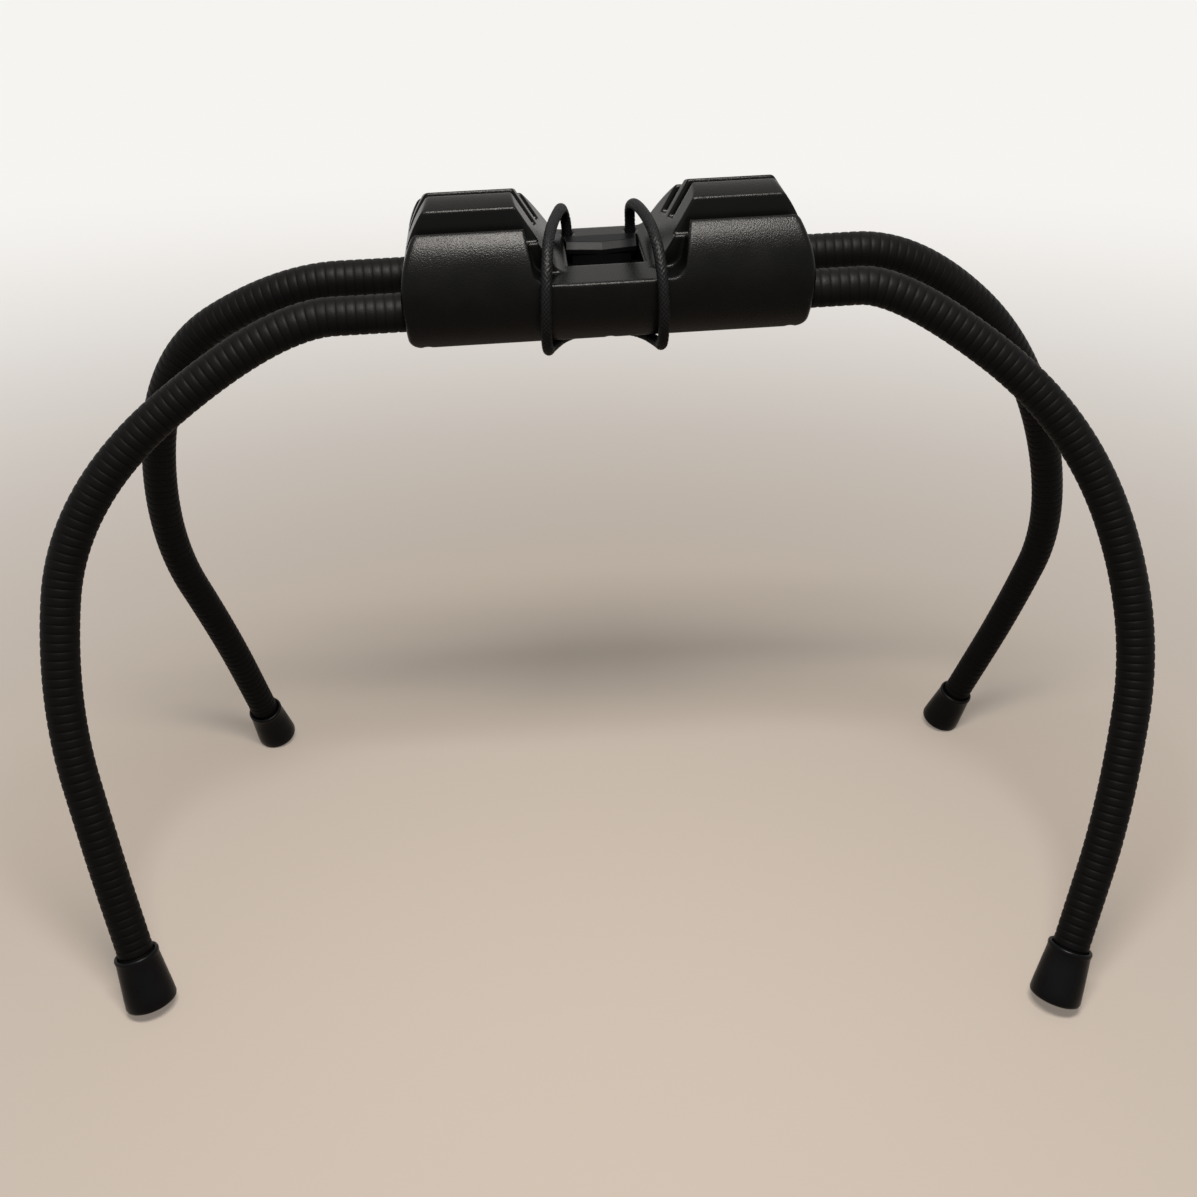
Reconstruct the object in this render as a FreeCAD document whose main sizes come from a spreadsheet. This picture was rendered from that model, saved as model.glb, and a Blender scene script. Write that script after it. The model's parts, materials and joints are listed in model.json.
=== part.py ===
"""Flexible leg tablet stand: a slotted clamp body on four gooseneck legs with rubber feet.

World frame: millimetres, +Z up, +X to the right, -Y towards the user, the feet on Z = 0.
Hub frame: X along the body, Y to the rear, Z up, with the four leg axes in its plane Z = 0.
"""
import FreeCAD
import Part
import Sketcher
import math
import os

Vector = FreeCAD.Vector

SIZES = {
    # the body and how it is turned on its legs
    "body_length": 169.0,
    "body_radius": 32.6,
    "section_rise": 7.6,
    "base_drop": 15.0,
    "base_corner": 5.5,
    "end_round": 52.0,
    "end_fillet": 2.6,
    "edge_fillet": 1.2,
    "lip_fillet": 0.6,
    "hub_x": -6.07,
    "hub_y": -3.51,
    "hub_height": 313.42,
    "hub_yaw": 4.5,
    "hub_roll": -2.3,
    "hub_pitch": 10.0,
    # the two slotted towers and the saddle between them
    "tower_top": 41.0,
    "tower_end_inset": 13.5,
    "gap_top_half": 38.0,
    "gap_base_half": 20.0,
    "gap_fillet": 6.0,
    "saddle_height": 12.8,
    "notch_half": 30.0,
    "notch_lean": 10.3,
    "notch_reach": 3.0,
    "slot_lean": 12.0,
    "front_slot_start": -21.7,
    "front_slot_floor": 26.0,
    "front_slot_width": 7.0,
    "middle_slot_start": -2.2,
    "middle_slot_floor": 26.5,
    "middle_slot_width": 7.0,
    "rear_slot_start": 10.1,
    "rear_slot_floor": 24.5,
    "rear_slot_width": 7.0,
    # the recess in the saddle and the hook bar that lies in it
    "recess_half_width": 15.9,
    "recess_front": -12.0,
    "recess_rear": 20.0,
    "recess_floor": 4.0,
    "bar_width": 30.8,
    "bar_depth": 9.0,
    "bar_nose": 2.4,
    "bar_neck_inset": 2.5,
    "bar_neck_height": 5.0,
    "bar_height": 9.6,
    "bar_chamfer": 2.6,
    "bar_clearance": 0.3,
    # the legs
    "leg_radius": 8.0,
    "core_radius": 5.0,
    "core_clearance": 0.25,
    "leg_spacing": 40.0,
    "leg_insert": 24.0,
    "socket_clearance": 0.3,
    "ball_clearance": 0.3,
    "collar_radius": 7.4,
    "collar_length": 9.0,
    "flange_radius": 10.0,
    "flange_thickness": 3.0,
    # the feet
    "foot_length": 27.0,
    "foot_top_radius": 10.0,
    "foot_base_radius": 11.6,
    "foot_floor": 7.0,
    "foot_edge": 2.0,
    "foot_lip": 1.2,
    "foot_clearance": 0.1,
    # the elastic cord and its crimped ends
    "cord_diameter": 4.7,
    "cord_hole_clearance": 0.4,
    "cord_hole_spacing": 28.0,
    "cord_hole_rear": 25.5,
    "crimp_radius": 3.5,
    "crimp_length": 5.5,
    "crimp_clearance": 0.3,
    # the screws that hold the two halves of the body together
    "screw_spacing": 62.0,
    "screw_radius": 1.5,
    "screw_head_radius": 3.0,
    "screw_head_height": 2.2,
    "screw_well_depth": 6.0,
    "screw_reach": 10.0,
    "screw_clearance": 0.25,
    # shallow scallops in the lower front edge
    "scallop_spacing": 77.0,
    "scallop_radius": 4.0,
    "scallop_depth": 1.1,
    "scallop_reach": 6.0,
}

# Each leg is bent in one plane, which holds the way out of the body and the foot.
# Bends are corner points in that plane: how far out along the exit, and how far down.
LEGS = {
    "front_left": {"side": -1, "row": -1, "foot": (-219.3, -119.2),
                   "bends": ((55.5, 0.0), (149.0, 66.5), (168.5, 155.0), (159.5, 236.0))},
    "front_right": {"side": 1, "row": -1, "foot": (207.4, -118.3),
                    "bends": ((41.0, 0.0), (119.0, 62.5), (149.0, 153.5), (136.0, 240.0))},
    "rear_left": {"side": -1, "row": 1, "foot": (-216.2, 101.6),
                  "bends": ((57.0, 0.0), (121.0, 35.5), (151.0, 141.5), (137.5, 224.0))},
    "rear_right": {"side": 1, "row": 1, "foot": (217.1, 119.2),
                   "bends": ((58.5, 0.0), (126.5, 59.0), (168.5, 165.0), (158.0, 236.0))},
}

# The elastic cord's route in the hub frame: out of the rear rim, over the saddle, down the front,
# under the body, and back the same way on the other side.
CORD_ROUTE = (
    (-14.0, 25.5, 5.5), (-14.0, 25.5, 16.5), (-15.4, 23.2, 25.0), (-16.8, 15.5, 30.4), (-18.6, 4.5, 32.6),
    (-21.4, -8.0, 32.6), (-23.7, -20.0, 30.0), (-25.0, -29.5, 23.5), (-26.0, -35.4, 14.0), (-26.9, -37.2, 3.0),
    (-27.2, -35.8, -7.5), (-26.4, -30.8, -16.4), (-23.3, -21.5, -20.0), (-16.4, -12.5, -19.6), (-6.6, -7.0, -19.8),
    (3.9, -7.2, -19.8), (13.1, -13.0, -19.7), (19.1, -22.0, -20.2), (21.2, -30.9, -17.0), (21.4, -35.9, -8.0),
    (21.3, -37.2, 2.5), (20.8, -35.4, 13.5), (20.1, -29.5, 23.3), (18.9, -20.0, 30.0), (17.1, -8.0, 32.7),
    (15.2, 4.5, 32.8), (14.0, 15.5, 30.5), (13.4, 23.2, 25.0), (14.0, 25.5, 16.5), (14.0, 25.5, 5.5))

ARC_SHARE = 0.45
FOOT_FITS = 6


def add_sheet(doc):
    """The spreadsheet of driving dimensions, one alias a row."""
    sheet = doc.addObject("Spreadsheet::Sheet", "Sizes")
    for row, (name, value) in enumerate(SIZES.items(), start=1):
        sheet.set(f"A{row}", name)
        sheet.set(f"B{row}", str(value))
        sheet.setAlias(f"B{row}", name)
    doc.recompute()
    return sheet


def size(name):
    """The present value of one cell of the sheet."""
    return float(getattr(FreeCAD.ActiveDocument.Sizes, name))


def value_of(expression):
    """What an expression on the sheet's cells comes to."""
    return float(FreeCAD.ActiveDocument.Sizes.evalExpression(expression))


def cells(expression):
    """Write a short expression's @names as cells of the sheet."""
    return expression.replace("@", "Sizes.")


# Sketches bound to the sheet

def add_sketch(body, name, role, offset=None):
    """A sketch on one of the body's origin planes, moved along its normal by a bound offset."""
    sketch = body.newObject("Sketcher::SketchObject", name)
    plane = next(item for item in body.Origin.OriginFeatures if item.Role == role)
    sketch.AttachmentSupport = [(plane, "")]
    sketch.MapMode = "FlatFace"
    if offset:
        sketch.setExpression("AttachmentOffset.Base.z", cells(offset))
    return sketch


def bind(sketch, kind, *place):
    """Add a dimension whose value is an expression."""
    *where, expression = place
    index = sketch.addConstraint(Sketcher.Constraint(kind, *where, value_of(cells(expression))))
    sketch.setExpression(f"Constraints[{index}]", cells(expression))


def arc_between(first, last, radius):
    """The shorter counter-clockwise arc between two points; a negative radius turns it clockwise."""
    if radius < 0:
        return arc_between(last, first, -radius)
    chord = last - first
    rise = math.sqrt(max(radius ** 2 - (chord.Length / 2) ** 2, 0.0))
    normal = Vector(-chord.y, chord.x, 0).normalize()
    centre = first + chord * 0.5 + normal * rise
    circle = Part.Circle(centre, Vector(0, 0, 1), radius)
    return Part.ArcOfCircle(circle, circle.parameter(first), circle.parameter(last))


def add_outline(sketch, points, radii=None):
    """A closed outline through bound points. radii gives the edges that are arcs, by their first point."""
    radii = radii or {}
    corners = [Vector(value_of(cells(x)), value_of(cells(y)), 0) for x, y in points]
    edges = []
    for index, first in enumerate(corners):
        last = corners[(index + 1) % len(corners)]
        if index in radii:
            turn = value_of(cells(radii[index]))
            edges.append((sketch.addGeometry(arc_between(first, last, turn)), *((1, 2) if turn > 0 else (2, 1))))
        else:
            edges.append((sketch.addGeometry(Part.LineSegment(first, last)), 1, 2))
    for index, (edge, start, _) in enumerate(edges):
        before, _, end = edges[index - 1]
        sketch.addConstraint(Sketcher.Constraint("Coincident", before, end, edge, start))
        bind(sketch, "DistanceX", edge, start, points[index][0])
        bind(sketch, "DistanceY", edge, start, points[index][1])
    for index, radius in radii.items():
        bind(sketch, "Radius", edges[index][0], f"abs({radius})")


def add_circle(sketch, x, y, radius):
    """A circle with a bound centre and radius."""
    centre = Vector(value_of(cells(x)), value_of(cells(y)), 0)
    edge = sketch.addGeometry(Part.Circle(centre, Vector(0, 0, 1), value_of(cells(radius))))
    bind(sketch, "DistanceX", edge, 3, x)
    bind(sketch, "DistanceY", edge, 3, y)
    bind(sketch, "Radius", edge, radius)


def pad(body, sketch, length, midplane=False):
    feature = body.newObject("PartDesign::Pad", sketch.Name + "_pad")
    feature.Profile = sketch
    feature.Midplane = midplane
    feature.setExpression("Length", cells(length))
    return feature


def pocket(body, sketch, length=None, reverse=False):
    """Cut a sketch out of the body: both ways through all, or one way for a bound length."""
    feature = body.newObject("PartDesign::Pocket", sketch.Name + "_pocket")
    feature.Profile = sketch
    if length:
        feature.Reversed = reverse
        feature.setExpression("Length", cells(length))
    else:
        feature.Type = "ThroughAll"
        feature.Midplane = True
    return feature


def fillet(body, name, radius, wanted):
    """Round those edges of the body's last feature that a test picks."""
    body.Document.recompute()
    before = body.Tip
    edges = [f"Edge{number}" for number, edge in enumerate(before.Shape.Edges, start=1) if wanted(edge)]
    feature = body.newObject("PartDesign::Fillet", name)
    feature.Base = (before, edges)
    feature.setExpression("Radius", cells(radius))
    return feature


# The body: two halves that meet in the plane of the leg axes

HALF = "@body_length / 2"
CREST = "(@section_rise + @body_radius)"
WAIST = "sqrt(@body_radius ^ 2 - @section_rise ^ 2)"
BASE = "sqrt(@body_radius ^ 2 - (@section_rise + @base_drop) ^ 2)"
MARGIN = "(2 * @body_radius)"


def hub_placement():
    """How the body stands on its legs."""
    turn = FreeCAD.Rotation(size("hub_yaw"), size("hub_roll"), size("hub_pitch"))
    return FreeCAD.Placement(Vector(size("hub_x"), size("hub_y"), size("hub_height")), turn)


def middle_point(edge):
    """The point half way along an edge."""
    return edge.valueAt((edge.FirstParameter + edge.LastParameter) / 2)


def on_skin(edge):
    """Whether an edge lies on the round outside of the body, off the plane between its halves."""
    point = middle_point(edge)
    reach = math.hypot(point.y, point.z - size("section_rise"))
    return abs(reach - size("body_radius")) < 1e-4 and abs(point.z) > 1e-4


def on_end(edge):
    """Whether an edge runs round one end of the body."""
    return on_skin(edge) and abs(middle_point(edge).x) > size("body_length") / 2 - size("tower_end_inset") - 1e-4


def on_saddle(edge):
    """Whether an edge runs along the saddle or up the towers' inner slopes."""
    return on_skin(edge) and abs(middle_point(edge).x) < size("gap_top_half")


def on_slot_wall(edge):
    """Whether an edge bounds a slot's wall and lies off its floor."""
    lean = math.radians(size("slot_lean"))
    across, up = Vector(0, math.cos(lean), -math.sin(lean)), Vector(0, math.sin(lean), math.cos(lean))
    places = [edge.valueAt(edge.FirstParameter), middle_point(edge), edge.valueAt(edge.LastParameter)]
    for slot in ("front", "middle", "rear"):
        corner = Vector(0, size(f"{slot}_slot_start"), size(f"{slot}_slot_floor"))
        for reach in (0.0, size(f"{slot}_slot_width")):
            if all(abs((place - corner).dot(across) - reach) < 1e-4 for place in places):
                return abs((places[1] - corner).dot(up)) > 1e-3
    return False


def on_recess_mouth(edge):
    """Whether an edge bounds the recess where it opens in the saddle."""
    point = middle_point(edge)
    return (abs(point.z - size("saddle_height")) < 1e-4 and abs(point.x) < size("recess_half_width") + 1e-4
            and size("recess_front") - 1e-4 < point.y < size("recess_rear") + 1e-4)


def cut_to_section(body, name, inner, radii):
    """Take away all that lies outside the body's cross section."""
    sketch = add_sketch(body, name, "YZ_Plane")
    add_outline(sketch, (("-" + MARGIN, "-" + MARGIN), (MARGIN, "-" + MARGIN),
                         (MARGIN, MARGIN), ("-" + MARGIN, MARGIN)))
    add_outline(sketch, inner, radii)
    pocket(body, sketch)


def cut_leg_sockets(body, name):
    """Half bores at both ends for the legs, and a groove inside them for each collar's flange."""
    inner = f"({HALF} - @leg_insert)"
    steps = (("sleeve", inner, "@leg_insert * 2", "@leg_radius + @socket_clearance"),
             ("flange", f"({inner} - @flange_thickness - @socket_clearance)",
              "@flange_thickness + @socket_clearance", "@flange_radius + @socket_clearance"),
             ("collar", f"({inner} - @collar_length - @socket_clearance)",
              "@collar_length + @socket_clearance", "@collar_radius + @socket_clearance"))
    for label, start, length, radius in steps:
        for end, sign in (("right", ""), ("left", "-")):
            sketch = add_sketch(body, f"{name}_{label}_{end}", "YZ_Plane", sign + start)
            for row in ("-", ""):
                add_circle(sketch, row + "@leg_spacing / 2", "0", radius)
            pocket(body, sketch, length, reverse=end == "right")


def cut_screw_holes(body, name, radius, start, length, reverse=True):
    """Four holes along the underside's middle line, from a height upwards."""
    sketch = add_sketch(body, name, "XY_Plane", start)
    for share in ("-1", "-0.5", "0.5", "1"):
        add_circle(sketch, f"{share} * @screw_spacing", "0", radius)
    pocket(body, sketch, length, reverse=reverse)


def slot_outline(slot):
    """A slot that leans to the rear, with its floor square to its walls."""
    start, floor, width = (f"@{slot}_slot_{part}" for part in ("start", "floor", "width"))
    top = CREST + " + @base_drop"
    rear, low = f"({start} + {width} * cos(@slot_lean))", f"({floor} - {width} * sin(@slot_lean))"
    return ((start, floor), (rear, low), (f"{rear} + ({top} - {low}) * tan(@slot_lean)", top),
            (f"{start} + ({top} - {floor}) * tan(@slot_lean)", top))


def cut_front_notch(body):
    """Widen the gap between the front walls: they stand steeper than the towers' inner slopes behind them."""
    sketch = add_sketch(body, "front_notch", "XZ_Plane", "-@front_slot_start - @notch_reach")
    tangent = "(@gap_fillet / tan(45 + @notch_lean / 2))"
    foot_x = f"(@notch_half + {tangent} * sin(@notch_lean))"
    foot_z = f"(@saddle_height + {tangent} * cos(@notch_lean))"
    flat_x = f"(@notch_half - {tangent})"
    top_x = "(@notch_half + (@tower_top - @saddle_height) * tan(@notch_lean))"
    add_outline(sketch, ((foot_x, foot_z), (top_x, "@tower_top"), ("-" + top_x, "@tower_top"), ("-" + foot_x, foot_z),
                         ("-" + flat_x, "@saddle_height"), (flat_x, "@saddle_height")),
                {3: "@gap_fillet", 5: "@gap_fillet"})
    pocket(body, sketch, "@body_radius", reverse=True)


def make_upper_housing(doc):
    """The upper half: two slotted towers, the saddle with its recess, and the rim round it."""
    body = doc.addObject("PartDesign::Body", "upper_housing")
    outline = add_sketch(body, "upper_outline", "XZ_Plane")
    tower_end = f"({HALF} - @tower_end_inset)"
    slope = "atan((@gap_top_half - @gap_base_half) / (@tower_top - @saddle_height))"
    tangent = f"(@gap_fillet / tan(45 deg + {slope} / 2))"
    foot_x, foot_z = f"(@gap_base_half + {tangent} * sin({slope}))", f"@saddle_height + {tangent} * cos({slope})"
    flat_x = f"(@gap_base_half - {tangent})"
    add_outline(outline, (
        ("-" + HALF, "0"), (HALF, "0"), (tower_end, "@tower_top"), ("@gap_top_half", "@tower_top"),
        (foot_x, foot_z), (flat_x, "@saddle_height"), ("-" + flat_x, "@saddle_height"), ("-" + foot_x, foot_z),
        ("-@gap_top_half", "@tower_top"), ("-" + tower_end, "@tower_top")),
        {1: "@end_round", 4: "-@gap_fillet", 6: "-@gap_fillet", 9: "@end_round"})
    pad(body, outline, "4 * @body_radius", midplane=True)
    cut_to_section(body, "upper_section", (("-" + WAIST, "0"), (WAIST, "0"), ("0", CREST)),
                   {1: "@body_radius", 2: "@body_radius"})
    fillet(body, "end_edges", "@end_fillet", on_end)
    fillet(body, "saddle_edges", "@edge_fillet", on_saddle)
    slots = add_sketch(body, "tablet_slots", "YZ_Plane")
    for slot in ("front", "middle", "rear"):
        add_outline(slots, slot_outline(slot))
    pocket(body, slots)
    fillet(body, "slot_lips", "@lip_fillet", on_slot_wall)
    cut_front_notch(body)
    recess = add_sketch(body, "saddle_recess", "XY_Plane", "@recess_floor")
    add_outline(recess, (("-@recess_half_width", "@recess_front"), ("@recess_half_width", "@recess_front"),
                         ("@recess_half_width", "@recess_rear"), ("-@recess_half_width", "@recess_rear")))
    pocket(body, recess, "@tower_top", reverse=True)
    fillet(body, "recess_lips", "@lip_fillet", on_recess_mouth)
    holes = add_sketch(body, "cord_holes", "XY_Plane")
    pockets = add_sketch(body, "crimp_pockets", "XY_Plane")
    for sign in ("-", ""):
        x = sign + "@cord_hole_spacing / 2"
        add_circle(holes, x, "@cord_hole_rear", "@cord_diameter / 2 + @cord_hole_clearance")
        add_circle(pockets, x, "@cord_hole_rear", "@crimp_radius + @crimp_clearance")
    pocket(body, holes, "@tower_top", reverse=True)
    pocket(body, pockets, "@crimp_length + @crimp_clearance", reverse=True)
    cut_leg_sockets(body, "upper")
    cut_screw_holes(body, "upper_screw", "@screw_radius + @screw_clearance", "0", "@screw_reach")
    body.Placement = hub_placement()
    return body


def make_lower_housing(doc):
    """The lower half: a shallow cover with a flat base, screw wells and scalloped front edge."""
    body = doc.addObject("PartDesign::Body", "lower_housing")
    outline = add_sketch(body, "lower_outline", "XZ_Plane")
    side, foot = f"({HALF} - @base_corner)", "(@base_corner - @base_drop)"
    add_outline(outline, (("-" + HALF, "0"), ("-" + HALF, foot), ("-" + side, "-@base_drop"),
                          (side, "-@base_drop"), (HALF, foot), (HALF, "0")),
                {1: "@base_corner", 3: "@base_corner"})
    pad(body, outline, "4 * @body_radius", midplane=True)
    cut_to_section(body, "lower_section",
                   (("-" + WAIST, "0"), ("-" + BASE, "-@base_drop"), (BASE, "-@base_drop"), (WAIST, "0")),
                   {0: "@body_radius", 2: "@body_radius"})
    fillet(body, "cover_edges", "@end_fillet", on_skin)
    cut_leg_sockets(body, "lower")
    cut_screw_holes(body, "lower_screw", "@screw_radius + @screw_clearance", "-@base_drop", "@base_drop")
    cut_screw_holes(body, "screw_well", "@screw_head_radius + @screw_clearance", "-@base_drop", "@screw_well_depth")
    scallops = add_sketch(body, "edge_scallops", "XZ_Plane", f"({BASE} - @scallop_reach)")
    for share in ("-1", "0", "1"):
        add_circle(scallops, f"{share} * @scallop_spacing",
                   "-@base_drop - @scallop_radius + @scallop_depth", "@scallop_radius")
    pocket(body, scallops, "@body_radius", reverse=True)
    body.Placement = hub_placement()
    return body


def make_hook_bar(doc):
    """The bar that lies in the recess: a neck under a wider head with a blunt nose and faceted top."""
    body = doc.addObject("PartDesign::Body", "hook_bar")
    rear = "(@recess_rear - @bar_clearance)"
    front = f"({rear} - @bar_depth)"
    steps = (("bar_neck", "(@bar_width / 2 - @bar_neck_inset)", "@recess_floor", "@bar_neck_height"),
             ("bar_head", "(@bar_width / 2)", "(@recess_floor + @bar_neck_height)", "@bar_height - @bar_neck_height"))
    for name, half, start, height in steps:
        sketch = add_sketch(body, name, "XY_Plane", start)
        add_outline(sketch, (("-" + half, rear), ("-" + half, front), ("0", f"{front} - @bar_nose"),
                             (half, front), (half, rear)))
        pad(body, sketch, height)
    doc.recompute()
    top = size("recess_floor") + size("bar_height")
    limit = size("recess_rear") - size("bar_clearance") - size("bar_depth") / 2
    head = body.Tip
    edges = [f"Edge{number}" for number, edge in enumerate(head.Shape.Edges, start=1)
             if all(abs(vertex.Z - top) < 1e-4 and vertex.Y < limit for vertex in edge.Vertexes)]
    chamfer = body.newObject("PartDesign::Chamfer", "bar_facets")
    chamfer.Base = (head, edges)
    chamfer.setExpression("Size", cells("@bar_chamfer"))
    body.Placement = hub_placement()
    return body


# The legs

def leg_route(name):
    """One leg's corner points, from inside the body to the foot's base, with its plane's directions."""
    leg = LEGS[name]
    hub = hub_placement()
    out = hub.Rotation.multVec(Vector(leg["side"], 0, 0))
    root = hub.multVec(Vector(leg["side"] * size("body_length") / 2, leg["row"] * size("leg_spacing") / 2, 0))
    reach = Vector(*leg["foot"], 0) - root
    down = (reach - out * reach.dot(out)).normalize()
    normal = out.cross(down)
    points = [root - out * size("leg_insert")]
    points += [root + out * along + down * drop for along, drop in leg["bends"]]
    return points + [foot_base(points[-1], root + reach, down)], out, normal


def foot_base(last_bend, on_floor, down):
    """The middle of the foot's base, raised until the lowest point of its rounded rim is on the floor."""
    edge = size("foot_edge")
    base = on_floor
    for _ in range(FOOT_FITS):
        axis = (base - last_bend).normalize()
        lean = math.acos(-axis.z)
        lift = (size("foot_base_radius") - edge) * math.sin(lean) + edge * (1 - math.cos(lean))
        base = on_floor - down * (lift / -down.z)
    return base


def rounded_path(points):
    """A wire of straight runs joined by tangent arcs, each as large as its two runs allow."""
    edges, start, radii = [], points[0], []
    for before, corner, after in zip(points, points[1:], points[2:]):
        back, ahead = (before - corner), (after - corner)
        half_turn = (math.pi - back.getAngle(ahead)) / 2
        reach = ARC_SHARE * min(back.Length, ahead.Length)
        radii.append(reach / math.tan(half_turn))
        first, last = corner + back.normalize() * reach, corner + ahead.normalize() * reach
        to_centre = (back + ahead).normalize()
        middle = corner + to_centre * (radii[-1] / math.cos(half_turn) - radii[-1])
        edges += [Part.LineSegment(start, first).toShape(), Part.Arc(first, middle, last).toShape()]
        start = last
    edges.append(Part.LineSegment(start, points[-1]).toShape())
    return Part.Wire(edges), radii


def tube(points, radius):
    """A round solid along a path of corner points."""
    path, _ = rounded_path(points)
    direction = (points[1] - points[0]).normalize()
    section = Part.Wire(Part.Circle(points[0], direction, radius).toShape())
    return path.makePipeShell([section], True, False)


def hinge_places(points):
    """Where a leg's three lengths meet: the middles of its second and fourth runs."""
    return (points[1] + points[2]) * 0.5, (points[3] + points[4]) * 0.5


def add_solid(doc, name, shape):
    feature = doc.addObject("Part::Feature", name)
    feature.Shape = shape
    return feature


def make_leg(doc, name):
    """A gooseneck in three lengths: each has a steel core in a sleeve, and they meet in ball ends."""
    points, out, _ = leg_route(name)
    radius, core, gap = size("leg_radius"), size("core_radius"), size("ball_clearance")
    upper, lower = hinge_places(points)
    axis = (points[-1] - points[-2]).normalize()
    end = points[-1] - axis * size("foot_floor")
    lengths = (("root", points[:2] + [upper]),
               ("middle", [upper] + points[2:4] + [lower]),
               ("lower", [lower, points[4], end]))
    for part, route in lengths:
        sleeve, bore = tube(route, radius), tube(route, core + size("core_clearance"))
        rod_route = list(route)
        if part == "root":
            rod_route[0] = route[0] - out * size("collar_length")
        rod = tube(rod_route, core)
        sleeve = sleeve.cut(bore)
        if part != "root":
            back = (route[0] - route[1]).normalize()
            sleeve = sleeve.fuse(Part.makeSphere(radius, route[0], back, 0, 90, 360))
        if part != "lower":
            hollow = Part.makeSphere(radius + gap, route[-1])
            sleeve, rod = sleeve.cut(hollow), rod.cut(hollow)
        add_solid(doc, f"{name}_sleeve_{part}", sleeve)
        add_solid(doc, f"{name}_core_{part}", rod)


def make_collar(doc, name):
    """A flanged steel collar crimped on the core's inner end, caught in the body's groove."""
    points, out, _ = leg_route(name)
    hole = size("core_radius") + size("core_clearance")
    start = points[0] - out * size("collar_length")
    barrel = Part.makeCylinder(size("collar_radius"), size("collar_length"), start, out)
    seat = points[0] - out * size("flange_thickness")
    flange = Part.makeCylinder(size("flange_radius"), size("flange_thickness"), seat, out)
    bore = Part.makeCylinder(hole, size("collar_length"), start, out)
    add_solid(doc, f"{name}_collar", barrel.fuse(flange).cut(bore).removeSplitter())


def make_foot(doc, name):
    """A tapered rubber tip with a rounded base and a small lip at its mouth."""
    points, _, _ = leg_route(name)
    body = doc.addObject("PartDesign::Body", f"{name}_foot")
    sketch = add_sketch(body, f"{name}_foot_profile", "XZ_Plane")
    bore = "@leg_radius + @foot_clearance"
    add_outline(sketch, (
        ("0", "0"), ("@foot_base_radius - @foot_edge", "0"), ("@foot_base_radius", "@foot_edge"),
        ("@foot_top_radius - @foot_lip / 2", "@foot_length - 2 * @foot_lip"),
        ("@foot_top_radius", "@foot_length - @foot_lip"), ("@foot_top_radius", "@foot_length"),
        (bore, "@foot_length"), (bore, "@foot_floor"), ("0", "@foot_floor")), {1: "@foot_edge"})
    turned = body.newObject("PartDesign::Revolution", f"{name}_foot_turned")
    turned.Profile = sketch
    turned.ReferenceAxis = (sketch, ["V_Axis"])
    turned.Angle = 360
    up = (points[-2] - points[-1]).normalize()
    body.Placement = FreeCAD.Placement(points[-1], FreeCAD.Rotation(Vector(0, 0, 1), up))
    return body


# The elastic cord, its crimps and the screws

def make_cord(doc):
    """The elastic cord as a plain tube, and a crimp on each end inside the rear rim."""
    hub = hub_placement()
    points = [hub.multVec(Vector(*point)) for point in CORD_ROUTE]
    path, radii = rounded_path(points)
    radius = size("cord_diameter") / 2
    cord = tube(points, radius)
    ratio = cord.Volume / (math.pi * radius ** 2 * path.Length)
    print("cord length", round(path.Length, 1), "volume ratio", round(ratio, 4),
          "radii", [round(bend, 1) for bend in radii])
    add_solid(doc, "elastic_cord", cord)
    crimps = [Part.makeCylinder(size("crimp_radius"), size("crimp_length"),
                                Vector(sign * size("cord_hole_spacing") / 2, size("cord_hole_rear"), 0))
              for sign in (-1, 1)]
    add_solid(doc, "cord_crimps", Part.makeCompound(crimps)).Placement = hub


def make_screws(doc):
    """Four screws up through the lower half: a pan head in its well and a plain shank."""
    screws = []
    seat = size("screw_well_depth") - size("base_drop")
    for share in (-1, -0.5, 0.5, 1):
        head_base = Vector(share * size("screw_spacing"), 0, seat - size("screw_head_height"))
        head = Part.makeCylinder(size("screw_head_radius"), size("screw_head_height"), head_base)
        rim = [edge for edge in head.Edges if abs(edge.CenterOfMass.z - head_base.z) < 1e-6 and edge.Closed]
        head = head.makeFillet(size("screw_head_height") / 3, rim)
        shank = Part.makeCylinder(size("screw_radius"), size("screw_reach") - seat - size("screw_clearance"),
                                  Vector(head_base.x, 0, seat))
        screws.append(head.fuse(shank))
    add_solid(doc, "housing_screws", Part.makeCompound(screws)).Placement = hub_placement()


# Checks and files

def sub_parts(doc):
    """The objects that are pieces of the stand, apart from the features inside a body."""
    inner = {item.Name for body in doc.Objects if body.isDerivedFrom("PartDesign::Body")
             for item in body.Group}
    return [item for item in doc.Objects if item.Name not in inner
            and (item.isDerivedFrom("PartDesign::Body") or item.TypeId == "Part::Feature")]


def check(doc):
    """Stop if any object failed or any piece has a bad shape."""
    for item in doc.Objects:
        if "Invalid" in item.State or "Error" in item.State:
            raise RuntimeError(f"{item.Label} failed: {item.State} {item.getStatusString()}")
    for item in sub_parts(doc):
        if item.Shape.isNull() or not item.Shape.isValid() or not item.Shape.Solids:
            raise RuntimeError(f"{item.Label} has a bad shape")


def main():
    doc = FreeCAD.newDocument("tablet_stand")
    add_sheet(doc)
    make_upper_housing(doc)
    make_lower_housing(doc)
    make_hook_bar(doc)
    make_cord(doc)
    make_screws(doc)
    for name in LEGS:
        make_collar(doc, name)
        make_leg(doc, name)
        make_foot(doc, name)
    doc.recompute()
    check(doc)
    os.makedirs("parts", exist_ok=True)
    for item in sub_parts(doc):
        item.Shape.exportStep(os.path.join("parts", item.Label + ".step"))
    print("pieces", len(sub_parts(doc)))


main()
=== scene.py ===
"""Looks of the flexible leg tablet stand, laid out as an add-on and run as a script.

Everything is in metres in the stand's own frame: +X right, -Y towards the user, the feet on Z = 0.
"""
import json
import math

import bmesh
import bpy
from bpy.props import FloatProperty, FloatVectorProperty, IntProperty, PointerProperty
from mathutils import Euler, Matrix, Vector


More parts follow.
